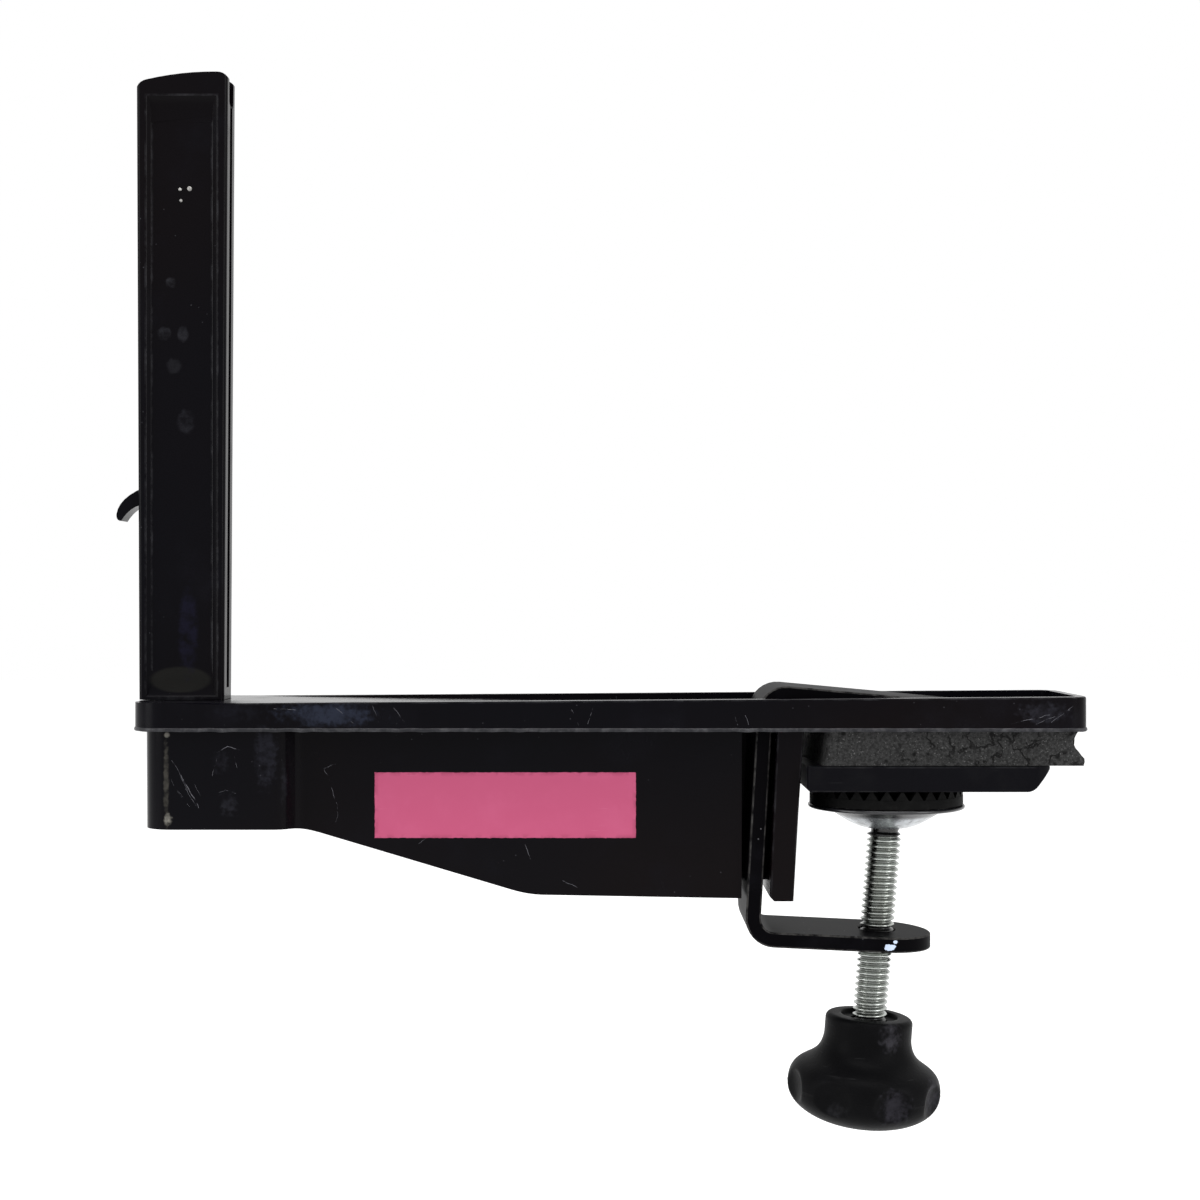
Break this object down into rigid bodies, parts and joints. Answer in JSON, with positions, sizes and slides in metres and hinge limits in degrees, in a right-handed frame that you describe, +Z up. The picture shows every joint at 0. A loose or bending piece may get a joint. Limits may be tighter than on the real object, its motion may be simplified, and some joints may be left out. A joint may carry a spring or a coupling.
{
  "type": "table tennis net clamp",
  "caption": "Clamp-on net post for a table tennis table: moulded bracket with foam pad, loose steel strap, swivel jaw with clamping screw, and a hollow post for the net rod.",
  "frame": {"origin": "on the axis of the clamping screw, at the underside of the foam pad, where the part rests on the table", "axes": "+X from the post towards the table, +Z up along the post, +Y completes the right-handed frame"},
  "size_m": [0.2229, 0.0364, 0.2453],
  "materials": {
    "bracket_plastic": "gloss black moulding, lightly scratched",
    "post_plastic": "gloss black moulding",
    "fastener_zinc": "bright zinc plate",
    "painted_steel": "gloss black paint, chipped at the tongue",
    "foam": "charcoal closed-cell foam",
    "jaw_plastic": "satin black moulding",
    "disc_rubber": "black rubber",
    "painted_cup": "black pressed steel",
    "spindle_zinc": "bright zinc plate",
    "knob_plastic": "satin black moulding"
  },
  "bodies": {
    "frame": {"bracket": "bracket_plastic", "post": "post_plastic", "post_screw": "fastener_zinc", "post_washer": "fastener_zinc", "strap": "painted_steel", "upper_pad": "foam"},
    "jaw": {"jaw_plate": "jaw_plastic", "grip_disc": "disc_rubber", "swivel_cup": "painted_cup"},
    "screw": {"spindle": "spindle_zinc", "knob": "knob_plastic"}
  },
  "joints": [
    {"name": "jaw_travel", "type": "slide", "parent": "frame", "child": "jaw", "axis": [-0.0819, 0, -0.9966], "range_m": [0, 0.022]},
    {"name": "screw_turn", "type": "hinge", "parent": "jaw", "child": "screw", "pos_m": [0, 0, 0], "axis": [-0.0819, 0, -0.9966], "range_deg": [0, 5613]}
  ],
  "couplings": [
    {"joint": "screw_turn", "follows": "jaw_travel", "rad_per_m": 4452.7}
  ]
}
